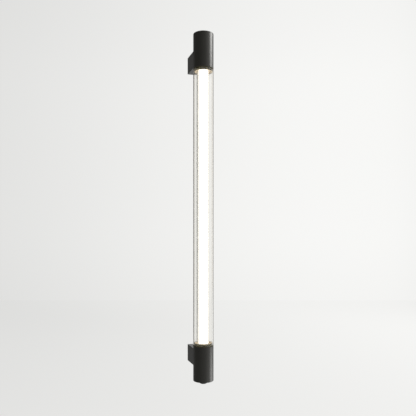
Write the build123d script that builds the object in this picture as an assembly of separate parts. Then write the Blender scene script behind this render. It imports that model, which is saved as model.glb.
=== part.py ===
from build123d import *
import os
from math import cos, floor, radians, sin, sqrt

os.makedirs("parts", exist_ok=True)

# A tube wall light: a clear glass tube with an opal light bar inside it, held
# between two black caps that stand off the wall on hollow arms. A dimmer knob
# turns under the lower cap. All sizes are in millimetres.

# ---- Driving sizes ---------------------------------------------------------

# Glass tube and its seals
tube_diameter = 50.0         # outer diameter of the glass and of the caps, which run flush
glass_wall = 1.8
glass_edge_radius = 0.4      # fire-polished ends
exposed_length = 680.0       # from one cap's rim to the other's
gasket_thickness = 2.5

# Caps
cap_length = 85.5
cap_wall = 3.0
cap_end_thickness = 6.0
cap_edge_radius = 1.0
cap_rim_radius = 0.4

# Arms that hold the caps off the wall
axis_to_wall = 54.0
arm_height = 41.0
arm_wall = 3.0
arm_setback = 4.5            # the arm's front edges lie this far behind the tube's axis
arm_edge_radius = 0.6
saddle_wall = 4.0            # wall between the cap and the arm's cavity
cavity_corner_radius = 2.0
upper_arm_offset = 1.5       # from the upper cap's rim to the arm
lower_arm_offset = 6.0       # from the lower cap's rim to the arm

# Wall plates
plate_thickness = 2.0
plate_flange_width = 24.0
plate_flange_depth = 14.0
plate_bend_radius = 0.6      # inside the bend
plate_relief = 1.0
wall_hole_diameter = 5.0
wall_hole_spacing = 30.0
cable_hole_diameter = 10.0

# Glass holders, each with a pale dish round the light bar's end
holder_protrusion = 7.5      # how far the holder's rim reaches into the glass past the cap's
holder_rim_wall = 1.2
holder_pocket_depth = 3.0    # the light bar's end sits this deep below the dish's floor
holder_floor = 5.5
holder_skirt_wall = 3.4
holder_skirt_margin = 5.0    # skirt past the middle of its screws
reflector_depth = 3.6        # from the holder's rim to the dish's floor
reflector_wall = 1.0
reflector_flare = 0.9        # the dish is this much narrower at its floor, on the radius
reflector_corner_radius = 0.8

# Light bar: aluminium profile, snap-in diffuser, board and chips
diffuser_diameter = 25.0
diffuser_wall = 1.5
bar_side_lip = 2.0           # how far the profile stands out past the diffuser
bar_leg_thickness = 1.7
bar_leg_front = 1.5          # from the tube's axis back to the legs' front edges
bar_floor_front = 4.0        # from the tube's axis back to the floor that carries the board
bar_floor_thickness = 2.0
bar_depth = 13.0             # from the tube's axis to the profile's back
bar_corner_radius = 3.0
bar_chamber_width = 13.6
bar_chamber_depth = 4.0
fin_groove_count = 6
fin_groove_width = 1.6
fin_groove_depth = 1.8
fin_groove_pitch = 3.6
snap_foot_height = 1.0
snap_bead_height = 0.9
snap_hold = 0.2              # overlap of foot and bead
screw_port_spacing = 20.0
screw_port_diameter = 2.8
board_width = 16.0
board_thickness = 1.2
board_end_gap = 3.0
chip_width = 3.5
chip_length = 2.8
chip_thickness = 0.8
chip_pitch = 10.0
connector_width = 7.0
connector_length = 6.0
connector_thickness = 4.0

# Driver in the upper cap
driver_length = 34.0
driver_case_wall = 1.5
potting_recess = 1.0
retainer_thickness = 1.2
retainer_width = 3.0
retainer_groove_depth = 1.0
retainer_gap_angle = 36.0
retainer_lug_radius = 2.6
retainer_lug_hole_diameter = 2.0

# Supply connections in the upper arm
block_width = 14.0
block_height = 17.0
block_depth = 12.0
block_edge_radius = 0.6
block_pole_pitch = 5.0
block_row_inset = 3.2
block_entry_diameter = 2.2
block_entry_depth = 5.0
grommet_bore_diameter = 7.2
grommet_wall = 1.0
grommet_flange_width = 1.4
grommet_flange_thickness = 1.0
stud_diameter = 4.0
stud_length = 8.0
stud_x = 14.0
lead_diameter = 1.8
lead_spacing = 3.2
lead_bend_radius = 8.0
lead_bend_y = 12.0

# Dimmer in the lower cap
dimmer_can_diameter = 16.5
dimmer_can_length = 8.0
dimmer_can_wall = 1.0
dimmer_plate_thickness = 1.0
dimmer_bush_diameter = 7.0
dimmer_recess_diameter = 15.0
dimmer_recess_depth = 3.0
dimmer_nut_width = 10.0
dimmer_nut_thickness = 2.0
dimmer_washer_diameter = 11.0
dimmer_washer_thickness = 0.5
dimmer_board_clearance = 2.0  # from the board's edge to the cap's bore
dimmer_board_thickness = 1.6
capacitor_diameter = 8.0
capacitor_length = 12.0
coil_diameter = 11.0
coil_length = 6.0
shaft_diameter = 6.0
shaft_flat_depth = 1.5
rotor_diameter = 12.5
rotor_thickness = 1.5

# Knob
knob_diameter = 18.0
knob_height = 6.6
knob_gap = 0.6
knob_edge_radius = 2.4
knob_back_edge_radius = 0.4
knob_face_thickness = 1.2

# Fasteners
screw_diameter = 4.0
small_screw_diameter = 2.6
block_screw_diameter = 3.0
boss_radius = 4.5
boss_face_y = 27.6           # from the tube's axis to the seats of the arm's inner screws
boss_spacing = 18.0
boss_margin = 1.5            # from the bosses to the cavity's ends
arm_screw_length = 8.0
holder_screw_length = 12.0
bar_screw_length = 14.0
securing_screw_length = 6.0
securing_screw_from_wall = 9.0

# Fastener proportions, as shares of the thread's diameter
cap_head_ratio = 0.875
flat_head_ratio = 0.95
cap_socket_ratio = 0.43
flat_socket_ratio = 0.36
socket_depth_ratio = 0.4
head_edge_ratio = 0.1
tip_chamfer_ratio = 0.1
washer_radius_ratio = 1.0
washer_height_ratio = 0.2
nut_radius_ratio = 1.0
nut_height_ratio = 0.8

# Clearances
seat_clearance = 0.1         # between pieces that are seated in or on each other
slip_clearance = 0.25        # between pieces that are slipped in
running_clearance = 0.05     # between the shaft and its bush
screw_clearance = 0.1

# ---- Values worked out from them -------------------------------------------

tube_radius = tube_diameter / 2
glass_bore_radius = tube_radius - glass_wall
cap_bore_radius = tube_radius - cap_wall
cap_floor = cap_length - cap_end_thickness

upper_arm_mid = upper_arm_offset + arm_height / 2
lower_arm_mid = lower_arm_offset + arm_height / 2
cavity_half_height = arm_height / 2 - arm_wall
cavity_half_width = tube_radius - arm_wall
flange_face = cavity_half_height - slip_clearance - plate_thickness
boss_z = cavity_half_height - boss_radius - boss_margin

holder_spigot_radius = glass_bore_radius - slip_clearance
reflector_radius = holder_spigot_radius - holder_rim_wall - seat_clearance
reflector_face = reflector_depth - holder_protrusion
reflector_seat = reflector_face + reflector_wall
holder_floor_low = reflector_face + holder_pocket_depth
holder_floor_high = holder_floor_low + holder_floor
bar_length = exposed_length + 2 * holder_floor_low
bar_half_width = diffuser_diameter / 2 + bar_side_lip
board_length = bar_length - 2 * board_end_gap
board_face_y = bar_floor_front - board_thickness
lead_y = board_face_y - connector_thickness / 2
port_y = bar_floor_front + bar_floor_thickness + bar_chamber_depth / 2

driver_low = cap_floor - driver_length
block_low_z = arm_height / 2 - securing_screw_length - slip_clearance - block_height
block_face_y = axis_to_wall - plate_thickness - block_depth
lead_row_z = block_low_z + block_row_inset
grommet_sleeve_radius = grommet_bore_diameter / 2 + grommet_wall
grommet_flange_radius = grommet_sleeve_radius + grommet_flange_width
grommet_flat_radius = grommet_flange_radius + slip_clearance
saddle_back_radius = tube_radius + seat_clearance + saddle_wall
grommet_flat_y = sqrt(saddle_back_radius ** 2 - grommet_flat_radius ** 2)

can_low = cap_floor - dimmer_plate_thickness - dimmer_can_length
dimmer_board_low = can_low - dimmer_board_thickness
dimmer_board_radius = cap_bore_radius - dimmer_board_clearance
bush_end = cap_length
knob_low = cap_length + knob_gap
knob_high = knob_low + knob_height
shaft_end = knob_high - knob_face_thickness

# The frame's origin is on the wall, in the middle of the four wall holes.
arm_pitch = exposed_length + upper_arm_offset + lower_arm_offset + arm_height
upper_rim_z = arm_pitch / 2 - upper_arm_mid
lower_rim_z = lower_arm_mid - arm_pitch / 2
tube_mid_z = (upper_rim_z + lower_rim_z) / 2

# Each end is drawn about the tube's axis, with its cap's rim at height zero, the
# cap rising from it and the wall on the +Y side. The lower end is turned over.
upper_end = Pos(0, -axis_to_wall, upper_rim_z)
lower_end = Pos(0, -axis_to_wall, lower_rim_z) * Rot(0, 180, 0)
tube_middle = Pos(0, -axis_to_wall, tube_mid_z)
towards_wall = Rot(-90, 0, 0)    # turns a piece drawn along +Z to point at the wall
from_wall = Rot(90, 0, 0)        # turns a piece drawn along +Z to point away from it


# ---- Drawing helpers -------------------------------------------------------

def turned(*points):
    # A solid turned about the Z axis from an outline of (radius, height) points.
    return revolve(Plane.XZ * make_face(Polyline(*points, close=True)), Axis.Z)


def rod(radius, low, high):
    # A round bar along Z between two heights.
    return Pos(0, 0, low) * Cylinder(radius, high - low, align=(Align.CENTER, Align.CENTER, Align.MIN))


def slab(width, y_low, y_high, z_low, z_high):
    # A block centred on X between two depths and two heights.
    block = Box(width, y_high - y_low, z_high - z_low, align=(Align.CENTER, Align.MIN, Align.MIN))
    return Pos(0, y_low, z_low) * block


def circles(part, radius, height):
    # The circular edges of the given radius that lie at a height.
    return [
        edge for edge in part.edges().filter_by(GeomType.CIRCLE)
        if abs(edge.radius - radius) < 0.001 and abs(edge.position_at(0.5).Z - height) < 0.001
    ]


def round_edges(part, radius, height, fillet_radius):
    return fillet(circles(part, radius, height), fillet_radius)


def group(pieces):
    # Several separate solids that share one node.
    return Compound([solid for piece in pieces for solid in piece.solids()])


def save(node, shape):
    export_step(shape, f"parts/{node}.step")


# ---- Fasteners, drawn with the seat at height zero and the tip below it -----

def cap_screw(diameter, length):
    head = diameter * cap_head_ratio
    depth = diameter * socket_depth_ratio
    screw = rod(head, 0, diameter) + rod(diameter / 2, -length, 0)
    screw = round_edges(screw, head, diameter, diameter * head_edge_ratio)
    hexagon = RegularPolygon(diameter * cap_socket_ratio, 6)
    socket = extrude(Pos(0, 0, diameter - depth) * hexagon, depth)
    return chamfer_tip(screw - socket, diameter, -length)


def flat_screw(diameter, length):
    # Countersunk: its top face is at height zero.
    head = diameter * flat_head_ratio
    depth = diameter * socket_depth_ratio
    cone = head - diameter / 2
    screw = turned(
        (0, -length), (diameter / 2, -length), (diameter / 2, -cone), (head, 0), (0, 0)
    )
    hexagon = RegularPolygon(diameter * flat_socket_ratio, 6)
    socket = extrude(Pos(0, 0, -depth) * hexagon, depth)
    return chamfer_tip(screw - socket, diameter, -length)


def flat_screw_hole(diameter, depth):
    # The countersunk hole that a flat screw of this diameter goes through.
    hole_radius = diameter / 2 + screw_clearance
    sink_radius = diameter * flat_head_ratio + screw_clearance
    sink_depth = sink_radius - hole_radius
    return turned(
        (0, -depth), (hole_radius, -depth), (hole_radius, -sink_depth), (sink_radius, 0), (0, 0)
    )


def chamfer_tip(screw, diameter, height):
    return chamfer(circles(screw, diameter / 2, height), diameter * tip_chamfer_ratio)


# ---- Places that several pieces share ---------------------------------------

def boss_places(offset, side):
    # Two screw places on one side, -1 or +1, of the middle of an arm's height.
    z = offset + arm_height / 2 + side * boss_z
    return [Pos(x, boss_face_y, z) for x in (-boss_spacing / 2, boss_spacing / 2)]


def bar_outline(clearance):
    # The light bar seen along the tube, diffuser and profile together.
    back = bar_depth + clearance
    front = bar_leg_front - clearance
    profile = Pos(0, (front + back) / 2) * Rectangle(2 * (bar_half_width + clearance), back - front)
    corners = profile.vertices().group_by(Axis.Y)[-1]
    return fillet(corners, bar_corner_radius + clearance) + Circle(diffuser_diameter / 2 + clearance)


# ---- Glass tube and seals ----------------------------------------------------

def glass_tube():
    half = exposed_length / 2 - gasket_thickness
    tube = rod(tube_radius, -half, half) - rod(glass_bore_radius, -half, half)
    return fillet(tube.edges().filter_by(GeomType.CIRCLE), glass_edge_radius)


def gasket():
    inner = holder_spigot_radius + seat_clearance
    return rod(tube_radius, -gasket_thickness, 0) - rod(inner, -gasket_thickness, 0)


# ---- Caps --------------------------------------------------------------------

def cap(offset):
    shell = rod(tube_radius, 0, cap_length)
    shell = round_edges(shell, tube_radius, cap_length, cap_edge_radius)
    shell = round_edges(shell, tube_radius, 0, cap_rim_radius)
    shell -= rod(cap_bore_radius, 0, cap_floor)
    for side in (-1, 1):
        for place in boss_places(offset, side):
            shell -= place * from_wall * rod(screw_diameter / 2 + screw_clearance, 0, tube_radius)
    return shell


def upper_cap():
    # Also has the wire hole, and the groove of the ring that holds the driver.
    groove = rod(cap_bore_radius + retainer_groove_depth, 0, retainer_thickness + seat_clearance)
    groove = Pos(0, 0, driver_low - retainer_thickness - seat_clearance) * groove
    return cap(upper_arm_offset) - wire_hole() - groove


def lower_cap():
    # Also has the hole of the dimmer's bush, sunk on the outside for its nut.
    hole = rod(dimmer_bush_diameter / 2 + screw_clearance, cap_floor, cap_length)
    recess = rod(dimmer_recess_diameter / 2, cap_length - dimmer_recess_depth, cap_length)
    return cap(lower_arm_offset) - hole - recess


def wire_hole():
    # Runs through the upper cap's back and the arm's saddle.
    hole = rod(grommet_sleeve_radius + seat_clearance, 0, saddle_back_radius)
    return Pos(0, 0, upper_arm_mid + lead_row_z) * towards_wall * hole


# ---- Arms ----------------------------------------------------------------------

def arm(offset):
    block = slab(tube_diameter, arm_setback, axis_to_wall, offset, offset + arm_height)
    block = fillet(block.edges().filter_by(Axis.Y), arm_edge_radius)
    saddle_radius = tube_radius + seat_clearance
    cavity = slab(
        2 * cavity_half_width, 0, axis_to_wall, offset + arm_wall, offset + arm_height - arm_wall
    )
    cavity = fillet(cavity.edges().filter_by(Axis.Y), cavity_corner_radius)
    cavity -= rod(saddle_radius + saddle_wall, offset, offset + arm_height)
    hollow = block - rod(saddle_radius, offset, offset + arm_height) - cavity
    for side in (-1, 1):
        for place in boss_places(offset, side):
            boss = place * from_wall * rod(boss_radius, 0, boss_face_y)
            hollow += boss & (block - rod(saddle_radius, offset, offset + arm_height))
            hollow -= place * from_wall * rod(screw_diameter / 2 + screw_clearance, 0, boss_face_y)
            hollow -= place * towards_wall * rod(boss_radius, 0, saddle_wall)
    sink = Pos(0, axis_to_wall - securing_screw_from_wall, offset + arm_height)
    return hollow - sink * flat_screw_hole(screw_diameter, arm_wall)


def upper_arm():
    # Its saddle also has the wire hole, with a flat for the grommet's flange.
    flat = rod(grommet_flat_radius, grommet_flat_y, saddle_back_radius)
    flat = Pos(0, 0, upper_arm_mid + lead_row_z) * towards_wall * flat
    return arm(upper_arm_offset) - wire_hole() - flat


# ---- Wall plates ------------------------------------------------------------------

def wall_plate(offset):
    # A bent channel that fills the arm's open back. Its flanges lie inside the arm.
    mid = offset + arm_height / 2
    half = cavity_half_height - slip_clearance
    width = 2 * (cavity_half_width - slip_clearance)
    outer_bend_radius = plate_bend_radius + plate_thickness
    back = Plane.XZ * RectangleRounded(width, 2 * half, cavity_corner_radius)
    plate = extrude(back, plate_thickness)
    for side in (-1, 1):
        notch = Box(plate_flange_width + 2 * plate_relief, 4 * plate_thickness, 2 * outer_bend_radius)
        plate -= Pos(0, 0, side * half) * notch
    channel = Pos(-plate_flange_depth / 2, 0) * Rectangle(plate_flange_depth, 2 * half)
    channel = fillet(channel.vertices().group_by(Axis.X)[-1], outer_bend_radius)
    inside = Rectangle(plate_flange_depth, 2 * (half - plate_thickness))
    inside = Pos(-plate_flange_depth / 2 - plate_thickness, 0) * inside
    channel -= fillet(inside.vertices().group_by(Axis.X)[-1], plate_bend_radius)
    flanges = extrude(Plane.YZ * channel, plate_flange_width / 2, both=True)
    plate = Pos(0, axis_to_wall, mid) * (plate + flanges)
    for x in (-wall_hole_spacing / 2, wall_hole_spacing / 2):
        hole = rod(wall_hole_diameter / 2, 0, plate_thickness)
        plate -= Pos(x, axis_to_wall, mid) * from_wall * hole
    tapped = rod(screw_diameter / 2 + screw_clearance, mid, mid + cavity_half_height)
    return plate - Pos(0, axis_to_wall - securing_screw_from_wall, 0) * tapped


def upper_wall_plate():
    # Also has the supply cable's hole and the tapped hole of the terminal block's screw.
    plate = wall_plate(upper_arm_offset)
    cable = rod(cable_hole_diameter / 2, 0, plate_thickness)
    plate -= cable_hole_place() * from_wall * cable
    tapped = rod(block_screw_diameter / 2 + screw_clearance, 0, plate_thickness)
    return plate - Pos(0, axis_to_wall, block_screw_z()) * from_wall * tapped


def cable_hole_place():
    z = block_low_z - slip_clearance - cable_hole_diameter / 2
    return Pos(0, axis_to_wall, upper_arm_mid + z)


def block_screw_z():
    return upper_arm_mid + block_low_z + block_height / 2


# ---- Glass holders --------------------------------------------------------------------

def holder(offset):
    # A turned plug: the skirt sits in the cap and the spigot in the glass. The spigot's rim
    # goes round the reflector, and a shaped pocket takes the end of the light bar.
    skirt_radius = cap_bore_radius - seat_clearance
    skirt_top = offset + arm_height / 2 - boss_z + holder_skirt_margin
    hollow_radius = skirt_radius - holder_skirt_wall
    rim_bore = holder_spigot_radius - holder_rim_wall
    plug = turned(
        (0, reflector_seat), (rim_bore, reflector_seat), (rim_bore, -holder_protrusion),
        (holder_spigot_radius, -holder_protrusion), (holder_spigot_radius, 0),
        (skirt_radius, 0), (skirt_radius, skirt_top), (hollow_radius, skirt_top),
        (hollow_radius, holder_floor_high), (0, holder_floor_high)
    )
    plug = round_edges(plug, holder_spigot_radius, -holder_protrusion, holder_rim_wall / 4)
    pocket = extrude(bar_outline(slip_clearance), holder_floor_low - reflector_seat)
    plug -= Pos(0, 0, reflector_seat) * pocket
    plug -= Pos(0, lead_y, 0) * rod(lead_spacing / 2 + lead_diameter, holder_floor_low, holder_floor_high)
    for place in port_places():
        hole = rod(small_screw_diameter / 2 + screw_clearance, holder_floor_low, holder_floor_high)
        plug -= place * hole
    for place in boss_places(offset, -1):
        plug -= place * from_wall * rod(screw_diameter / 2 + screw_clearance, 0, boss_face_y)
    return plug


def reflector():
    # A flared dish with an opening of the light bar's outline in its floor.
    edge = slip_clearance - holder_protrusion
    mouth_radius = reflector_radius - reflector_wall
    floor_radius = mouth_radius - reflector_flare
    dish = turned(
        (0, reflector_seat), (reflector_radius, reflector_seat), (reflector_radius, edge),
        (mouth_radius, edge), (floor_radius, reflector_face), (0, reflector_face)
    )
    dish = round_edges(dish, floor_radius, reflector_face, reflector_corner_radius)
    opening = extrude(bar_outline(slip_clearance), reflector_wall)
    return dish - Pos(0, 0, reflector_face) * opening


def port_places():
    return [Pos(x, port_y, 0) for x in (-screw_port_spacing / 2, screw_port_spacing / 2)]


# ---- Light bar ------------------------------------------------------------------------

def light_profile():
    # Extruded aluminium: legs that grip the diffuser, a floor for the board, a hollow
    # chamber, two screw ports and cooling grooves down the back.
    back = Pos(0, (bar_leg_front + bar_depth) / 2)
    section = back * Rectangle(2 * bar_half_width, bar_depth - bar_leg_front)
    section = fillet(section.vertices().group_by(Axis.Y)[-1], bar_corner_radius)
    trough_half = bar_half_width - bar_leg_thickness
    trough = Rectangle(2 * trough_half, bar_floor_front - bar_leg_front)
    section -= Pos(0, (bar_leg_front + bar_floor_front) / 2) * trough
    bead_width = trough_half - bead_edge()
    for side in (-1, 1):
        bead = Rectangle(bead_width, snap_bead_height)
        bead_x = side * (trough_half - bead_width / 2)
        section += Pos(bead_x, bar_leg_front + snap_bead_height / 2) * bead
    chamber = RectangleRounded(bar_chamber_width, bar_chamber_depth, bar_chamber_depth / 4)
    section -= Pos(0, port_y) * chamber
    for place in port_places():
        section -= place * Circle(screw_port_diameter / 2)
    first_groove = -fin_groove_pitch * (fin_groove_count - 1) / 2
    for number in range(fin_groove_count):
        x = first_groove + number * fin_groove_pitch
        groove = Rectangle(fin_groove_width, 2 * fin_groove_depth)
        section -= Pos(x, bar_depth) * groove
    return extrude(section, bar_length / 2, both=True)


def bead_edge():
    # The beads stand just clear of the diffuser's curved side.
    y = bar_leg_front
    return sqrt((diffuser_diameter / 2) ** 2 - y ** 2) + seat_clearance / 2


def diffuser():
    # Extruded opal cover, open at the back, with feet that snap behind the legs' beads.
    outer = diffuser_diameter / 2
    end_y = bar_floor_front - slip_clearance
    section = Circle(outer) - Circle(outer - diffuser_wall)
    section -= Pos(0, end_y + outer) * Rectangle(2 * outer, 2 * outer)
    foot_outer = bead_edge() + snap_hold
    foot_inner = sqrt((outer - diffuser_wall) ** 2 - end_y ** 2)
    foot = Rectangle(foot_outer - foot_inner, snap_foot_height)
    for side in (-1, 1):
        section += Pos(side * (foot_outer + foot_inner) / 2, end_y - snap_foot_height / 2) * foot
    return extrude(section, bar_length / 2, both=True)


def led_board():
    return slab(board_width, board_face_y, bar_floor_front, -board_length / 2, board_length / 2)


def connector_places():
    far = board_length / 2 - connector_length / 2
    return [-far, far]


def board_connectors():
    return group([
        Pos(0, board_face_y - connector_thickness / 2, z)
        * Box(connector_width, connector_thickness, connector_length)
        for z in connector_places()
    ])


def led_chips():
    free_length = board_length - 2 * connector_length - chip_pitch
    count = floor(free_length / chip_pitch) + 1
    first = -chip_pitch * (count - 1) / 2
    chip = Box(chip_width, chip_thickness, chip_length)
    y = board_face_y - chip_thickness / 2
    return group([Pos(0, y, first + number * chip_pitch) * chip for number in range(count)])


# ---- Driver in the upper cap ------------------------------------------------------------

def driver_case():
    # A round cup that fills the cap's end, open towards the tube.
    outer = cap_bore_radius - slip_clearance
    case = rod(outer, driver_low, cap_floor)
    case = round_edges(case, outer, cap_floor, driver_case_wall / 2)
    return case - rod(outer - driver_case_wall, driver_low, cap_floor - driver_case_wall)


def driver_potting():
    radius = cap_bore_radius - slip_clearance - driver_case_wall
    return rod(radius, driver_low + potting_recess, cap_floor - driver_case_wall)


def driver_ring():
    # A retaining ring that springs into the cap's groove, with two eyes for pliers.
    outer = cap_bore_radius + retainer_groove_depth - seat_clearance
    inner = outer - retainer_width
    ring = Circle(outer) - Circle(inner)
    half_gap = radians(retainer_gap_angle / 2)
    reach = 2 * outer
    ring -= make_face(Polyline(
        (0, 0), (reach * sin(half_gap), -reach * cos(half_gap)),
        (-reach * sin(half_gap), -reach * cos(half_gap)), close=True
    ))
    lug_distance = inner - retainer_lug_radius / 2
    lug_angle = half_gap + retainer_lug_radius / lug_distance
    for side in (-1, 1):
        place = Pos(side * lug_distance * sin(lug_angle), -lug_distance * cos(lug_angle))
        ring += place * Circle(retainer_lug_radius)
        ring -= place * Circle(retainer_lug_hole_diameter / 2)
    return Pos(0, 0, driver_low - retainer_thickness) * extrude(ring, retainer_thickness)


def grommet():
    bore = grommet_bore_diameter / 2
    inner_end = cap_bore_radius - grommet_flange_thickness
    outer_end = grommet_flat_y + grommet_flange_thickness
    ring = turned(
        (bore, inner_end), (grommet_sleeve_radius, inner_end),
        (grommet_sleeve_radius, grommet_flat_y), (grommet_flange_radius, grommet_flat_y),
        (grommet_flange_radius, outer_end), (bore, outer_end)
    )
    return Pos(0, 0, upper_arm_mid + lead_row_z) * towards_wall * ring


def terminal_block():
    # Push-in block: two rows of entries face the room, the lower row feeds the driver.
    low = upper_arm_mid + block_low_z
    block = slab(block_width, block_face_y, block_face_y + block_depth, low, low + block_height)
    block = fillet(block.edges().filter_by(Axis.Y), block_edge_radius)
    for z in (low + block_row_inset, low + block_height - block_row_inset):
        for x in (-block_pole_pitch / 2, block_pole_pitch / 2):
            entry = rod(block_entry_diameter / 2, 0, block_entry_depth)
            block -= Pos(x, block_face_y, z) * towards_wall * entry
    hole = rod(block_screw_diameter / 2 + screw_clearance, 0, block_depth)
    return block - Pos(0, block_face_y, block_screw_z()) * towards_wall * hole


def block_screw():
    screw = cap_screw(block_screw_diameter, block_depth + plate_thickness - slip_clearance)
    return Pos(0, block_face_y, block_screw_z()) * from_wall * screw


def earth_stud_place():
    z = stud_diameter * washer_radius_ratio + slip_clearance - flange_face
    return Pos(stud_x, axis_to_wall - plate_thickness, upper_arm_mid + z) * from_wall


def earth_stud():
    # Welded to the inside of the upper wall plate.
    stud = rod(stud_diameter / 2, 0, stud_length)
    return earth_stud_place() * chamfer_tip(stud, stud_diameter, stud_length)


def earth_nut():
    washer_top = stud_diameter * washer_height_ratio
    nut_top = washer_top + stud_diameter * nut_height_ratio
    bore = stud_diameter / 2 + running_clearance
    washer = rod(stud_diameter * washer_radius_ratio, 0, washer_top) - rod(bore, 0, washer_top)
    hexagon = Pos(0, 0, washer_top) * RegularPolygon(stud_diameter * nut_radius_ratio, 6)
    nut = extrude(hexagon, nut_top - washer_top) - rod(bore, washer_top, nut_top)
    return earth_stud_place() * group([washer, nut])


# ---- Leads --------------------------------------------------------------------------------

def straight_leads(start):
    # A pair from a face in the cap at this height to the light board's connector.
    end = holder_floor_low - board_end_gap
    return group([
        Pos(x, lead_y, 0) * rod(lead_diameter / 2, end, start)
        for x in (-lead_spacing / 2, lead_spacing / 2)
    ])


def supply_leads():
    # From the terminal block through the grommet, then up to the driver.
    z = upper_arm_mid + lead_row_z
    start_y = block_face_y + block_entry_depth
    top = driver_low + potting_recess
    leads = []
    for x in (-block_pole_pitch / 2, block_pole_pitch / 2):
        path = FilletPolyline(
            (x, start_y, z), (x, lead_bend_y, z), (x, lead_bend_y, top), radius=lead_bend_radius
        )
        section = Plane(origin=(x, start_y, z), z_dir=(0, -1, 0)) * Circle(lead_diameter / 2)
        leads.append(sweep(section, path))
    return group(leads)


# ---- Dimmer in the lower cap ----------------------------------------------------------------

def dimmer_can():
    outer = dimmer_can_diameter / 2
    can = rod(outer, can_low, can_low + dimmer_can_length)
    can = round_edges(can, outer, can_low, dimmer_can_wall / 2)
    return can - rod(outer - dimmer_can_wall, can_low + dimmer_can_wall, can_low + dimmer_can_length)


def dimmer_bush():
    # The plate that closes the can, with the threaded bush that goes through the cap.
    plate_low = cap_floor - dimmer_plate_thickness
    bush = rod(dimmer_can_diameter / 2, plate_low, cap_floor)
    bush += rod(dimmer_bush_diameter / 2, cap_floor, bush_end)
    bush = round_edges(bush, dimmer_bush_diameter / 2, bush_end, dimmer_plate_thickness / 4)
    return bush - rod(shaft_diameter / 2 + running_clearance, plate_low, bush_end)


def dimmer_washer():
    low = cap_length - dimmer_recess_depth
    high = low + dimmer_washer_thickness
    bore = dimmer_bush_diameter / 2 + screw_clearance
    return rod(dimmer_washer_diameter / 2, low, high) - rod(bore, low, high)


def dimmer_nut():
    low = cap_length - dimmer_recess_depth + dimmer_washer_thickness
    hexagon = Pos(0, 0, low) * RegularPolygon(dimmer_nut_width / 2, 6, major_radius=False)
    bore = rod(dimmer_bush_diameter / 2 + running_clearance, low, cap_length)
    return extrude(hexagon, dimmer_nut_thickness) - bore


def dimmer_board():
    # Round, with a narrow flat towards the wall.
    board = rod(dimmer_board_radius, dimmer_board_low, can_low)
    flat_y = dimmer_board_radius - dimmer_board_thickness
    cut = slab(
        2 * dimmer_board_radius, flat_y, dimmer_board_radius, dimmer_board_low, can_low
    )
    return board - cut


def dimmer_parts():
    # A capacitor and a wound choke on the board's inner face.
    reach = dimmer_board_radius / 2
    capacitor = rod(capacitor_diameter / 2, dimmer_board_low - capacitor_length, dimmer_board_low)
    capacitor = round_edges(
        capacitor, capacitor_diameter / 2, dimmer_board_low - capacitor_length, capacitor_diameter / 16
    )
    coil = rod(coil_diameter / 2, dimmer_board_low - coil_length, dimmer_board_low)
    coil -= rod(coil_diameter / 4, dimmer_board_low - coil_length, dimmer_board_low)
    coil = fillet(coil.edges().filter_by(GeomType.CIRCLE).group_by(Axis.Z)[0], coil_diameter / 16)
    return group([Pos(-reach, reach / 2, 0) * capacitor, Pos(reach, -reach / 2, 0) * coil])


def dimmer_shaft():
    # Turns in the bush. Its rotor disc runs inside the can, its flat drives the knob.
    rotor_high = cap_floor - dimmer_plate_thickness - 2 * seat_clearance
    radius = shaft_diameter / 2
    shaft = rod(radius, rotor_high - rotor_thickness, shaft_end)
    shaft = round_edges(shaft, radius, shaft_end, shaft_diameter / 12)
    shaft += rod(rotor_diameter / 2, rotor_high - rotor_thickness, rotor_high)
    flat = slab(
        shaft_diameter, radius - shaft_flat_depth, shaft_diameter, knob_low, shaft_end
    )
    return shaft - flat


def knob():
    # Solid turned knob with a blind D-shaped bore.
    radius = knob_diameter / 2
    body = rod(radius, knob_low, knob_high)
    body = round_edges(body, radius, knob_high, knob_edge_radius)
    body = round_edges(body, radius, knob_low, knob_back_edge_radius)
    bore_radius = shaft_diameter / 2 + running_clearance
    bore = rod(bore_radius, knob_low, shaft_end + running_clearance)
    flat_y = shaft_diameter / 2 - shaft_flat_depth + running_clearance
    bore -= slab(shaft_diameter * 2, flat_y, knob_diameter, knob_low, knob_high)
    return body - bore


# ---- Fasteners in place ----------------------------------------------------------------------

def arm_screws():
    screw = towards_wall * cap_screw(screw_diameter, arm_screw_length)
    uppers = [upper_end * place * screw for place in boss_places(upper_arm_offset, 1)]
    lowers = [lower_end * place * screw for place in boss_places(lower_arm_offset, 1)]
    return group(uppers + lowers)


def holder_screws():
    screw = towards_wall * cap_screw(screw_diameter, holder_screw_length)
    uppers = [upper_end * place * screw for place in boss_places(upper_arm_offset, -1)]
    lowers = [lower_end * place * screw for place in boss_places(lower_arm_offset, -1)]
    return group(uppers + lowers)


def bar_screws():
    screw = cap_screw(small_screw_diameter, bar_screw_length)
    screws = [Pos(0, 0, holder_floor_high) * place * screw for place in port_places()]
    return group([end * piece for end in (upper_end, lower_end) for piece in screws])


def securing_screws():
    screw = flat_screw(screw_diameter, securing_screw_length)
    y = axis_to_wall - securing_screw_from_wall
    return group([
        upper_end * Pos(0, y, upper_arm_offset + arm_height) * screw,
        lower_end * Pos(0, y, lower_arm_offset + arm_height) * screw,
    ])


# ---- Every node --------------------------------------------------------------------------------

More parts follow.
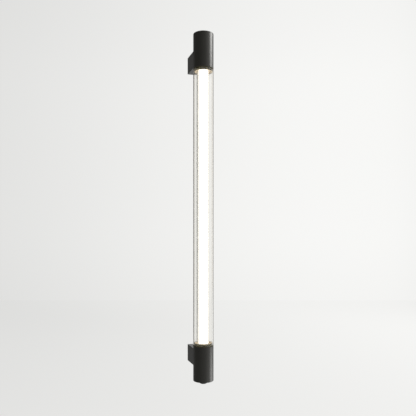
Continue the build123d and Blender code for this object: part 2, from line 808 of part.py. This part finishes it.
nodes = {
    "glass_tube": tube_middle * glass_tube(),
    "upper_gasket": upper_end * gasket(),
    "lower_gasket": lower_end * gasket(),
    "upper_cap": upper_end * upper_cap(),
    "lower_cap": lower_end * lower_cap(),
    "upper_arm": upper_end * upper_arm(),
    "lower_arm": lower_end * arm(lower_arm_offset),
    "upper_wall_plate": upper_end * upper_wall_plate(),
    "lower_wall_plate": lower_end * wall_plate(lower_arm_offset),
    "upper_holder": upper_end * holder(upper_arm_offset),
    "lower_holder": lower_end * holder(lower_arm_offset),
    "upper_reflector": upper_end * reflector(),
    "lower_reflector": lower_end * reflector(),
    "light_profile": tube_middle * light_profile(),
    "diffuser": tube_middle * diffuser(),
    "led_board": tube_middle * led_board(),
    "led_chips": tube_middle * led_chips(),
    "board_connectors": tube_middle * board_connectors(),
    "driver_case": upper_end * driver_case(),
    "driver_potting": upper_end * driver_potting(),
    "driver_ring": upper_end * driver_ring(),
    "grommet": upper_end * grommet(),
    "terminal_block": upper_end * terminal_block(),
    "block_screw": upper_end * block_screw(),
    "earth_stud": upper_end * earth_stud(),
    "earth_nut": upper_end * earth_nut(),
    "supply_leads": upper_end * supply_leads(),
    "driver_leads": upper_end * straight_leads(driver_low + potting_recess),
    "dimmer_leads": lower_end * straight_leads(dimmer_board_low),
    "dimmer_board": lower_end * dimmer_board(),
    "dimmer_parts": lower_end * dimmer_parts(),
    "dimmer_can": lower_end * dimmer_can(),
    "dimmer_bush": lower_end * dimmer_bush(),
    "dimmer_washer": lower_end * dimmer_washer(),
    "dimmer_nut": lower_end * dimmer_nut(),
    "dimmer_shaft": lower_end * dimmer_shaft(),
    "knob": lower_end * knob(),
    "arm_screws": arm_screws(),
    "holder_screws": holder_screws(),
    "bar_screws": bar_screws(),
    "securing_screws": securing_screws(),
}

for node, shape in nodes.items():
    save(node, shape)
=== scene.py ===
import math

import bpy
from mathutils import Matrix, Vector


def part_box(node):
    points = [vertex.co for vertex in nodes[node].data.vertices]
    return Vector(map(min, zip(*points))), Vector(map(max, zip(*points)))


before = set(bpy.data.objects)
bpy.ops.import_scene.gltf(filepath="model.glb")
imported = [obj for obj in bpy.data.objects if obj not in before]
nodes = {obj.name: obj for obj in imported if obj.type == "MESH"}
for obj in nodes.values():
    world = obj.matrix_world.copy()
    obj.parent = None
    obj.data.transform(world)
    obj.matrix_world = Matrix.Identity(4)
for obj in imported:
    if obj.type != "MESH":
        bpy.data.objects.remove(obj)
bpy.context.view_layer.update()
print("frame loaded,", len(nodes), "nodes")


# shader maths written as plain sums

class Value:
    def __init__(self, paint, socket):
        self.paint = paint
        self.socket = socket

    def __add__(self, other):
        return self.paint.maths("ADD", self, other)

    def __sub__(self, other):
        return self.paint.maths("SUBTRACT", self, other)

    def __rsub__(self, other):
        return self.paint.maths("SUBTRACT", other, self)

    def __mul__(self, other):
        return self.paint.maths("MULTIPLY", self, other)

    def __lt__(self, other):
        return self.paint.maths("LESS_THAN", self, other)

    def __gt__(self, other):
        return self.paint.maths("GREATER_THAN", self, other)

    __radd__ = __add__
    __rmul__ = __mul__


class Paint:
    # a node tree, with one method for any node and short names for the usual ones
    def __init__(self, tree):
        self.tree = tree
        self.tree.nodes.clear()

    def node(self, kind, sockets=None, out=0, **settings):
        made = self.tree.nodes.new("ShaderNode" + kind)
        for name, value in settings.items():
            setattr(made, name, value)
        for name, value in (sockets or {}).items():
            if isinstance(value, Value):
                self.tree.links.new(value.socket, made.inputs[name])
            else:
                made.inputs[name].default_value = value
        return Value(self, made.outputs[out]) if made.outputs else made

    def maths(self, operation, first, second=0.0):
        return self.node("Math", {0: first, 1: second}, operation=operation)

    def clamp(self, value):
        return self.node("Clamp", {"Value": value})

    def smooth(self, value, low, high, toLow=0.0, toHigh=1.0):
        # runs from toLow to toHigh while the value goes from low to high
        return self.node("MapRange", {"Value": value, "From Min": low, "From Max": high,
                                      "To Min": toLow, "To Max": toHigh},
                         interpolation_type="SMOOTHSTEP")

    def place(self, scale=(1, 1, 1), turn=(0, 0, 0)):
        where = self.node("TexCoord", out="Object")
        return self.node("Mapping", {"Vector": where, "Scale": scale, "Rotation": turn})

    def outputs(self, value):
        # every output of the node that a value comes from, by name
        return {socket.name: Value(self, socket) for socket in value.socket.node.outputs}

    def axes(self, vector=None):
        # the object's own x, y and z, in metres
        vector = vector or self.node("TexCoord", out="Object")
        return list(self.outputs(self.node("SeparateXYZ", {"Vector": vector})).values())

    def noise(self, size, detail=3.0, rough=0.55, stretch=(1, 1, 1)):
        # size is the width of one blotch, in metres
        return self.node("TexNoise", {"Vector": self.place(scale=stretch), "Scale": 1 / size,
                                      "Detail": detail, "Roughness": rough})

    def blend(self, factor, first, second):
        return self.node("Mix", {"Factor": factor, 6: first, 7: second}, out=2,
                         data_type="RGBA")

    def grey(self, level, blue=1.0, green=1.0):
        return self.node("CombineColor", {"Red": level, "Green": level * green,
                                          "Blue": level * blue})


def rgb(red, green, blue):
    return (red, green, blue, 1.0)


class Finish(Paint):
    # a Principled material: plain values go on its sockets, patterns are fed in
    def __init__(self, name, **sockets):
        self.material = bpy.data.materials.new(name)
        self.material.use_nodes = True
        super().__init__(self.material.node_tree)
        self.shader = self.node("BsdfPrincipled").socket.node
        self.node("OutputMaterial", {"Surface": Value(self, self.shader.outputs[0])})
        for socket, value in sockets.items():
            self.shader.inputs[socket.replace("_", " ")].default_value = value

    def feed(self, socket, value):
        self.tree.links.new(value.socket, self.shader.inputs[socket])

    def bump(self, height, depth):
        # depth is the relief in metres that a height of one stands for
        self.feed("Normal", self.node("Bump", {"Height": height, "Distance": depth,
                                               "Strength": 1.0}))

    def dress(self, *names):
        for name in names:
            for materialSlot in nodes[name].material_slots:
                materialSlot.material = self.material


# the tube's axis and the top of the lower holder, in metres
tubeAxisY = -0.054
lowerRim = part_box("lower_holder")[1][2]

# black satin powder coat: caps, arms and knob

satin = {"colour": rgb(0.0160, 0.0150, 0.0115), "worn": rgb(0.023, 0.022, 0.018),
         "rough": 0.255, "cloudRough": 0.07, "grainRough": 0.02, "ior": 1.5,
         "cloud": 0.045, "cloudWear": 0.8, "grain": 0.0007, "grainDepth": 0.000006,
         "speck": 0.0022, "speckLevels": (0.70, 0.78), "speckWear": 0.3}

satinBlack = Finish("satinBlack", IOR=satin["ior"])
cloud = satinBlack.noise(satin["cloud"], detail=4.0)
grain = satinBlack.noise(satin["grain"], detail=2.0)
specks = satinBlack.smooth(satinBlack.noise(satin["speck"], detail=1.0), *satin["speckLevels"])
wear = satinBlack.clamp(cloud * satin["cloudWear"] + specks * satin["speckWear"])
satinBlack.feed("Base Color", satinBlack.blend(wear, satin["colour"], satin["worn"]))
satinBlack.feed("Roughness",
                satin["rough"] + cloud * satin["cloudRough"] + grain * satin["grainRough"])
satinBlack.bump(grain, satin["grainDepth"])
satinBlack.dress("upper_cap", "lower_cap", "upper_arm", "lower_arm", "knob")

# dark bronze holders, seen through the glass just past each cap's rim

bronze = {"colour": rgb(0.105, 0.088, 0.034), "dark": rgb(0.082, 0.069, 0.026),
          "blotch": 0.012, "rough": 0.42, "turningRough": 0.1, "turning": 0.0005,
          "turningDepth": 0.000008, "ior": 1.15}

darkBronze = Finish("darkBronze", IOR=bronze["ior"])
turning = darkBronze.noise(bronze["turning"], stretch=(0.05, 0.05, 1))
darkBronze.feed("Base Color", darkBronze.blend(
    darkBronze.noise(bronze["blotch"], detail=4.0), bronze["dark"], bronze["colour"]))
darkBronze.feed("Roughness", bronze["rough"] + turning * bronze["turningRough"])
darkBronze.bump(turning, bronze["turningDepth"])
darkBronze.dress("upper_holder", "lower_holder")

# glass tube: clear borosilicate, drawn along its length, with painted shade on its outer surface
# where edge-on

glass = {"tint": rgb(0.998, 0.992, 0.976), "edgeShade": rgb(0.06, 0.045, 0.032),
         "edgeOn": (0.62, 0.73), "midWall": 0.0241, "ior": 1.474, "rough": 0.012,
         "smear": 0.03, "smearLevels": (0.45, 0.75), "wave": 0.012, "waveDepth": 0.000006}

clearGlass = Finish("clearGlass", IOR=glass["ior"], Transmission_Weight=1.0)
edgeOn = clearGlass.node("LayerWeight", {"Blend": 0.5}, out="Facing")
glassX, glassY = clearGlass.axes()[:2]
fromAxis = glassY - tubeAxisY
outerSide = (glassX * glassX + fromAxis * fromAxis) > glass["midWall"] ** 2
# painted shade: the outer surface's colour turns dark where the glass is seen edge-on
clearGlass.feed("Base Color", clearGlass.blend(
    clearGlass.smooth(edgeOn, *glass["edgeOn"]) * outerSide, glass["tint"], glass["edgeShade"]))
smear = clearGlass.noise(glass["smear"], detail=5.0, stretch=(1, 1, 0.25))
clearGlass.feed("Roughness",
                clearGlass.smooth(smear, *glass["smearLevels"], 0.0, glass["rough"]))
clearGlass.bump(clearGlass.noise(glass["wave"], detail=1.0, stretch=(1, 1, 0.08)),
                glass["waveDepth"])
clearGlass.dress("glass_tube")

# opal diffuser, lit from inside; painted shade dims its glow at the right, at the back and inside
# the holder

opal = {"colour": rgb(0.60, 0.59, 0.57), "glow": rgb(1.0, 0.94, 0.84),
        "streakGlow": rgb(1.0, 0.93, 0.82), "shadedGlow": rgb(0.34, 0.33, 0.31),
        "strength": 1.40, "rightFade": (0.0080, 0.0115), "backFade": (-0.0045, 0.0005),
        "endFade": (-0.0020, 0.0010), "rough": 0.38, "frostRough": 0.08, "frost": 0.0009,
        "frostDepth": 0.000008, "flow": 0.02, "flowLevels": (0.3, 0.7), "ior": 1.49}

opalLit = Finish("opalLit", Base_Color=opal["colour"], IOR=opal["ior"],
                 Emission_Strength=opal["strength"])
frost = opalLit.noise(opal["frost"], detail=2.0)
flow = opalLit.noise(opal["flow"], stretch=(1, 1, 0.03))
opalX, opalY, opalZ = opalLit.axes()
rightFade = opalLit.smooth(opalX, *opal["rightFade"])
backFade = opalLit.smooth(opalY - tubeAxisY, *opal["backFade"])
endFade = opalLit.smooth(opalZ - lowerRim, *opal["endFade"], 1.0, 0.0)
opalGlow = opalLit.blend(
    opalLit.smooth(flow, *opal["flowLevels"]), opal["glow"], opal["streakGlow"])
# painted shade: the glow blends to a dim colour at the right, at the back and at the lower end
opalLit.feed("Emission Color", opalLit.blend(
    opalLit.clamp(rightFade + backFade + endFade), opalGlow, opal["shadedGlow"]))
opalLit.feed("Roughness", opal["rough"] + frost * opal["frostRough"])
opalLit.bump(frost, opal["frostDepth"])
opalLit.dress("diffuser")

# ivory dishes at the ends of the glass, with a painted glow though they are no lamp, brighter at
# the left than at the right

ivory = {"colour": rgb(0.88, 0.77, 0.60), "shade": rgb(0.82, 0.71, 0.55), "rough": 0.42,
         "glow": rgb(1.0, 0.84, 0.62), "paintedDimGlow": rgb(0.45, 0.37, 0.27), "strength": 0.24,
         "paintedGlowFade": (-0.008, 0.012), "mottle": 0.004, "mottleRough": 0.1, "grain": 0.0005,
         "grainDepth": 0.000012, "ior": 1.49}

ivoryDish = Finish("ivoryDish", IOR=ivory["ior"], Emission_Strength=ivory["strength"])
mottle = ivoryDish.noise(ivory["mottle"], detail=4.0)
# painted light: the dishes glow, more at the left than at the right
ivoryDish.feed("Emission Color", ivoryDish.blend(
    ivoryDish.smooth(ivoryDish.axes()[0], *ivory["paintedGlowFade"]), ivory["glow"], ivory["paintedDimGlow"]))
ivoryDish.feed("Base Color", ivoryDish.blend(mottle, ivory["shade"], ivory["colour"]))
ivoryDish.feed("Roughness", ivory["rough"] + mottle * ivory["mottleRough"])
ivoryDish.bump(ivoryDish.noise(ivory["grain"], detail=2.0), ivory["grainDepth"])
ivoryDish.dress("upper_reflector", "lower_reflector")

# anodised extrusion: fine die lines along the bar

bar = {"colour": rgb(0.86, 0.86, 0.84), "line": rgb(0.76, 0.76, 0.74), "metal": 0.55,
       "dieLine": 0.0006, "dieDepth": 0.00001, "rough": 0.30, "lineRough": 0.16}

anodised = Finish("anodisedBar", Metallic=bar["metal"])
dieLines = anodised.noise(bar["dieLine"], detail=4.0, stretch=(1, 1, 0.004))
anodised.feed("Base Color", anodised.blend(dieLines, bar["line"], bar["colour"]))
anodised.feed("Roughness", bar["rough"] + dieLines * bar["lineRough"])
anodised.bump(dieLines, bar["dieDepth"])
anodised.dress("light_profile")

# silicone rubber: dark rubber gaskets at the glass, lifted to olive as painted light from the
# glowing tube, and a black grommet

def silicone(name, light, dark):
    rubber = Finish(name, IOR=1.41)
    skin = rubber.noise(0.0008, detail=3.0)
    rubber.feed("Base Color", rubber.blend(rubber.noise(0.006), dark, light))
    rubber.feed("Roughness", 0.58 + skin * 0.12)
    rubber.bump(skin, 0.00002)
    return rubber


# the gaskets' olive colour is painted light from the tube on dark rubber
silicone("paintedGlowSilicone", rgb(0.052, 0.046, 0.024), rgb(0.038, 0.033, 0.017)).dress(
    "upper_gasket", "lower_gasket")
silicone("blackSilicone", rgb(0.020, 0.019, 0.018), rgb(0.010, 0.010, 0.010)).dress("grommet")


# metals

def brushed(name, light, dark, rough, stretch, spangle=0.0):
    metal = Finish(name, Metallic=1.0)
    lines = metal.noise(0.0005, detail=4.0, stretch=stretch)
    crystals = metal.node("TexVoronoi", {"Vector": metal.place(), "Scale": 260.0}, out="Color")
    shade = metal.clamp(lines * (1 - spangle) + metal.axes(crystals)[0] * spangle)
    metal.feed("Base Color", metal.blend(shade, dark, light))
    metal.feed("Roughness", rough + shade * 0.12)
    metal.bump(lines, 0.000006)
    return metal


brushed("zincPlate", rgb(0.66, 0.66, 0.63), rgb(0.50, 0.50, 0.48), 0.30, (0.05, 1, 1), 0.45).dress(
    "upper_wall_plate", "lower_wall_plate", "dimmer_can")
brushed("springSteel", rgb(0.34, 0.33, 0.32), rgb(0.22, 0.22, 0.21), 0.34, (1, 1, 0.1)).dress(
    "driver_ring")
brushed("turnedBrass", rgb(0.80, 0.62, 0.34), rgb(0.66, 0.48, 0.24), 0.24, (0.1, 0.1, 1)).dress(
    "dimmer_bush", "dimmer_nut", "earth_nut")
brushed("turnedSteel", rgb(0.60, 0.60, 0.59), rgb(0.46, 0.46, 0.45), 0.26, (0.1, 0.1, 1)).dress(
    "dimmer_shaft", "dimmer_washer")


def screwFinish(name, light, dark, ringStep, along):
    # shallow rings across the axis that the screws point along, 2 pi steps apart
    steel = Finish(name, Metallic=1.0)
    rings = steel.node("TexWave", {"Vector": steel.place(), "Scale": 1 / (20 * ringStep),
                                   "Distortion": 0.0}, bands_direction=along)
    dull = steel.noise(0.0012, detail=4.0)
    steel.feed("Base Color", steel.blend(dull, dark, light))
    steel.feed("Roughness", 0.26 + dull * 0.2)
    steel.bump(rings, 0.00012)
    return steel


screwFinish("zincScrewY", rgb(0.62, 0.62, 0.60), rgb(0.44, 0.44, 0.43), 0.0007, "Y").dress(
    "arm_screws", "holder_screws", "block_screw", "earth_stud")
screwFinish("zincScrewZ", rgb(0.62, 0.62, 0.60), rgb(0.44, 0.44, 0.43), 0.00045, "Z").dress(
    "bar_screws")
screwFinish("blackScrew", rgb(0.030, 0.029, 0.028), rgb(0.016, 0.016, 0.015), 0.0007, "Z").dress(
    "securing_screws")


# boards, chips and moulded plastics

def moulded(name, light, dark, rough, grainDepth=0.000015):
    plastic = Finish(name, IOR=1.5)
    grain = plastic.noise(0.0006, detail=2.0)
    plastic.feed("Base Color", plastic.blend(plastic.noise(0.008, detail=4.0), dark, light))
    plastic.feed("Roughness", rough + grain * 0.12)
    plastic.bump(grain, grainDepth)
    return plastic


moulded("connectorPlastic", rgb(0.80, 0.79, 0.74), rgb(0.74, 0.73, 0.68), 0.38).dress(
    "board_connectors")
moulded("driverPlastic", rgb(0.72, 0.72, 0.70), rgb(0.66, 0.66, 0.64), 0.45).dress("driver_case")
moulded("terminalPlastic", rgb(0.56, 0.57, 0.58), rgb(0.50, 0.51, 0.52), 0.36).dress(
    "terminal_block")
moulded("pottingResin", rgb(0.030, 0.030, 0.030), rgb(0.016, 0.016, 0.016), 0.22, 0.0001).dress(
    "driver_potting")
moulded("componentPlastic", rgb(0.045, 0.045, 0.055), rgb(0.025, 0.025, 0.032), 0.3).dress(
    "dimmer_parts")
moulded("brownLead", rgb(0.17, 0.07, 0.03), rgb(0.13, 0.05, 0.02), 0.34).dress("supply_leads")
moulded("whiteLead", rgb(0.76, 0.75, 0.71), rgb(0.70, 0.69, 0.65), 0.34).dress(
    "driver_leads", "dimmer_leads")


def circuitBoard(name, mask, track, trackWidth):
    # tracks under the mask show as slightly lighter lines
    board = Finish(name, IOR=1.55, Coat_Weight=0.4, Coat_Roughness=0.12)
    cells = board.node("TexBrick", {
        "Vector": board.place(turn=(math.pi / 2, 0, 0)), "Scale": 1.0,
        "Mortar Size": trackWidth / 12, "Brick Width": trackWidth * 2.4,
        "Row Height": trackWidth}, out="Fac")
    board.feed("Base Color", board.blend(cells, mask, track))
    board.feed("Roughness", 0.3 + cells * 0.1)
    board.bump(cells, 0.00003)
    return board


circuitBoard("whiteBoard", rgb(0.82, 0.82, 0.80), rgb(0.74, 0.74, 0.70), 0.006).dress("led_board")
circuitBoard("greenBoard", rgb(0.03, 0.16, 0.08), rgb(0.05, 0.24, 0.12), 0.004).dress(
    "dimmer_board")

chip = {"frame": rgb(0.82, 0.80, 0.74), "phosphor": rgb(0.85, 0.62, 0.12),
        "halfWindow": 0.0012, "rough": 0.5, "windowSmoother": 0.2, "ior": 1.45}

phosphor = Finish("ledPhosphor", IOR=chip["ior"])
window = phosphor.maths("ABSOLUTE", phosphor.axes()[0]) < chip["halfWindow"]
phosphor.feed("Base Color", phosphor.blend(window, chip["frame"], chip["phosphor"]))
phosphor.feed("Roughness", chip["rough"] - window * chip["windowSmoother"])
phosphor.dress("led_chips")
print("CAD nodes dressed")

# studio: pale floor and backdrop, a dark flag at the left and pale cards at the right and high
# up that only the glass finds, and two soft lights; angles are degrees to the right of the
# camera's heading
studio = {
    "eye": (-0.3728, -1.2330, 0.0), "viewHeading": 17.55, "cool": 0.985, "ambient": 0.60,
    "floorHeight": -1.3, "floorBack": 8.5, "floorFront": -8.0, "floorSide": 8.0,
    "floorTones": (0.735, 0.925), "floorToneSpan": (-3.4, 3.4), "floorFade": (5.0, 8.3),
    "floorFlag": (3.0, 5.0), "floorPictured": (0.2, 1.8),
    "floorLift": (0.5, 5.0, 1.0, 1.02), "floorFarLevel": 0.97, "floorGlow": 0.95,
    "brightest": 0.935, "darkest": 0.72, "behind": 0.86,
    "middleHeight": 0.14, "middleFade": (0.12, 0.30, 1.0, 0.966),
    "backdropRise": (-40.0, 18.0), "backdropFall": (19.0, 40.0), "backdropBehind": (50.0, 100.0),
    "leftFlag": 0.20, "leftFlagOuter": (-65.0, -50.0), "leftFlagInner": (-36.0, -31.0),
    "leftWarmth": 0.24,
    "rightCard": 1.15, "rightCardInner": (31.0, 36.0), "rightCardOuter": (60.0, 75.0),
    "rightWarmth": 0.16, "highCard": 0.95, "highCardSide": (-95.0, -75.0),
    "highCardRise": (0.30, 0.42)}

# what the gloss finds: a dim front, a brighter right side, and cards there above and below
gloss = {"front": 0.10, "low": (-0.35, -0.15, 0.12, 0.0), "heading": 92.0,
         "side": (-1.0, 0.4, 0.0, 0.30), "cards": (0.3, 1.0), "highCard": (0.24, 0.36),
         "lowCard": (-0.26, -0.17), "backdropWidth": (5.0, 14.0), "backdropLevel": 0.85}


def aroundView(paint, vector):
    # degrees to the right of the camera's heading, level
    x, y = paint.axes(vector)[:2]
    return paint.maths("DEGREES", paint.maths("ARCTAN2", x, y)) - studio["viewHeading"]


def backdropLevel(paint, around):
    # brightest a little to the right of the light, darker towards both sides, even behind
    brightest, darkest = studio["brightest"], studio["darkest"]
    rise = paint.smooth(around, *studio["backdropRise"], darkest, brightest)
    fall = paint.smooth(around, *studio["backdropFall"], 1.0, darkest / brightest)
    behind = paint.smooth(paint.maths("ABSOLUTE", around), *studio["backdropBehind"])
    return rise * fall * (1 - behind) + behind * studio["behind"]


def sidePanels(paint, around):
    # how bright and how warm the flag and the card are, a little outside the picture
    left = (paint.smooth(around, *studio["leftFlagInner"], 1.0, 0.0)
            * paint.smooth(around, *studio["leftFlagOuter"]))
    right = (paint.smooth(around, *studio["rightCardInner"])
             * paint.smooth(around, *studio["rightCardOuter"], 1.0, 0.0))
    shade = (1 - left * (1 - studio["leftFlag"])) * (1 - right * (1 - studio["rightCard"]))
    return shade, left * studio["leftWarmth"] + right * studio["rightWarmth"]


world = bpy.data.worlds.new("studioWorld")
bpy.context.scene.world = world
world.use_nodes = True
air = Paint(world.node_tree)
direction = air.node("TexCoord", out="Generated")
around = aroundView(air, direction)
upward = air.axes(direction)[2]
offMiddle = air.maths("ABSOLUTE", upward - studio["middleHeight"])
backdrop = backdropLevel(air, around) * air.smooth(offMiddle, *studio["middleFade"])

# what the glass and the gloss find beside the backdrop
shade, warmth = sidePanels(air, around)
highCard = (air.smooth(around, *studio["highCardSide"], 1.0, 0.0)
            * air.smooth(upward, *studio["highCardRise"]))
throughGlass = backdrop * (shade + highCard * studio["highCard"])
highOrLow = air.clamp(air.smooth(upward, *gloss["highCard"])
                      + air.smooth(upward, *gloss["lowCard"], 1.0, 0.0))
rightward = air.maths("COSINE", air.maths("RADIANS", around - gloss["heading"]))
frontAndSides = (gloss["front"] + air.smooth(upward, *gloss["low"])
                 + air.smooth(rightward, *gloss["side"])
                 + air.smooth(rightward, *gloss["cards"]) * highOrLow)
inBackdrop = air.smooth(air.maths("ABSOLUTE", around), *gloss["backdropWidth"], 1.0, 0.0)
glossLevel = backdrop * inBackdrop * gloss["backdropLevel"] + frontAndSides * (1 - inBackdrop)

rays = air.outputs(air.node("LightPath"))
isCamera, isGlass = rays["Is Camera Ray"], rays["Is Transmission Ray"]
isGloss = rays["Is Glossy Ray"] * (1 - isGlass)
level = (backdrop * isCamera + throughGlass * isGlass + glossLevel * isGloss
         + studio["ambient"] * (1 - air.clamp(isCamera + isGlass + isGloss)))
air.node("OutputWorld", {"Surface": air.node("Background", {
    "Color": air.grey(level, studio["cool"] - warmth * isGlass, 1 - warmth * isGlass * 0.5),
    "Strength": 1.0})})


# only the floor may be selected when its turn is applied
for thing in bpy.context.selected_objects:
    thing.select_set(False)
bpy.ops.mesh.primitive_plane_add(size=2.0, location=(0, 0, studio["floorHeight"]))
floor = bpy.context.object
floor.name = "studioFloor"
for vertex in floor.data.vertices:
    vertex.co.x *= studio["floorSide"]
    vertex.co.y = studio["floorBack"] if vertex.co.y > 0 else studio["floorFront"]
floor.rotation_euler.z = -math.radians(studio["viewHeading"])
bpy.ops.object.transform_apply(location=True, rotation=True, scale=True)

floorMaterial = bpy.data.materials.new("paleFloor")
floorMaterial.use_nodes = True
floorPaint = Paint(floorMaterial.node_tree)
place = floorPaint.node("TexCoord", out="Object")
fromEye = floorPaint.node("VectorMath", {0: place, 1: studio["eye"]}, operation="SUBTRACT")
turn = floorPaint.node("Mapping", {"Vector": place,
                                   "Rotation": (0, 0, math.radians(studio["viewHeading"]))})
sideways, depth = floorPaint.axes(turn)[:2]
nearLevel = floorPaint.smooth(sideways, *studio["floorToneSpan"], *studio["floorTones"])
farLift = floorPaint.smooth(depth, *studio["floorLift"])
farLevel = (backdropLevel(floorPaint, aroundView(floorPaint, fromEye))
            * studio["floorFarLevel"])
# how far out towards the floor's edges: floorBack at each of them
frontOffset = studio["floorBack"] + studio["floorFront"]
sideOffset = studio["floorBack"] - studio["floorSide"]
edge = floorPaint.maths("MAXIMUM", depth, floorPaint.maths(
    "MAXIMUM", frontOffset - depth, floorPaint.maths("ABSOLUTE", sideways) + sideOffset))
fade = floorPaint.smooth(edge, *studio["floorFade"])
rays = floorPaint.outputs(floorPaint.node("LightPath"))
shade = sidePanels(floorPaint, aroundView(floorPaint, place))[0]
flagged = ((1 - shade) * rays["Is Transmission Ray"]
           * floorPaint.smooth(edge, *studio["floorFlag"]))
inPicture = floorPaint.smooth(depth, *studio["floorPictured"])
nearTone = nearLevel * farLift * inPicture + (1 - inPicture) * studio["behind"]
tone = (nearTone * (1 - fade) + farLevel * fade) * (1 - flagged)
floorColour = floorPaint.grey(tone, studio["cool"])
seen = floorPaint.clamp(rays["Is Camera Ray"] + rays["Is Glossy Ray"]
                        + rays["Is Transmission Ray"])
floorPaint.node("OutputMaterial", {"Surface": floorPaint.node("MixShader", {
    0: seen * studio["floorGlow"], 1: floorPaint.node("BsdfDiffuse", {"Color": floorColour}),
    2: floorPaint.node("Emission", {"Color": floorColour, "Strength": 1.0})})})
floor.data.materials.append(floorMaterial)
floor.visible_glossy = False


# soft lights: they light the pieces and show in the gloss, never by themselves
lampColour = (1.0, 0.99, 0.97)
softLights = {
    "upperSoftLight": {"place": (1.48, -0.26, 1.16), "aim": (0, tubeAxisY, 0.40),
                       "wide": 0.95, "tall": 0.56, "power": 14.6},
    "lowerSoftLight": {"place": (1.48, -0.26, -0.92), "aim": (0, tubeAxisY, -0.38),
                       "wide": 0.95, "tall": 0.46, "power": 4.8}}

for name, light in softLights.items():
    lamp = bpy.data.lights.new(name, "AREA")
    lamp.shape = "RECTANGLE"
    lamp.size = light["wide"]
    lamp.size_y = light["tall"]
    lamp.energy = light["power"]
    lamp.color = lampColour
    made = bpy.data.objects.new(name, lamp)
    bpy.context.collection.objects.link(made)
    made.location = light["place"]
    toLight = Vector(light["aim"]) - Vector(light["place"])
    made.rotation_euler = toLight.to_track_quat("-Z", "Y").to_euler()
    made.visible_camera = made.visible_transmission = False
print("studio built")

# camera, as the photograph was taken

shot = {"place": (-0.3728, -1.2330, -0.0713), "look": (0.3015, 0.9535, 0.0), "lens": 43.49,
        "sensorWidth": 36.0, "shiftX": 0.0111, "shiftY": 0.0703}

lensData = bpy.data.cameras.new("photoCamera")
lensData.lens = shot["lens"]
lensData.sensor_width = shot["sensorWidth"]
lensData.shift_x = shot["shiftX"]
lensData.shift_y = shot["shiftY"]
camera = bpy.data.objects.new("photoCamera", lensData)
bpy.context.collection.objects.link(camera)
camera.location = shot["place"]
camera.rotation_euler = Vector(shot["look"]).to_track_quat("-Z", "Y").to_euler()
bpy.context.scene.camera = camera

bpy.context.scene.view_settings.view_transform = "Standard"
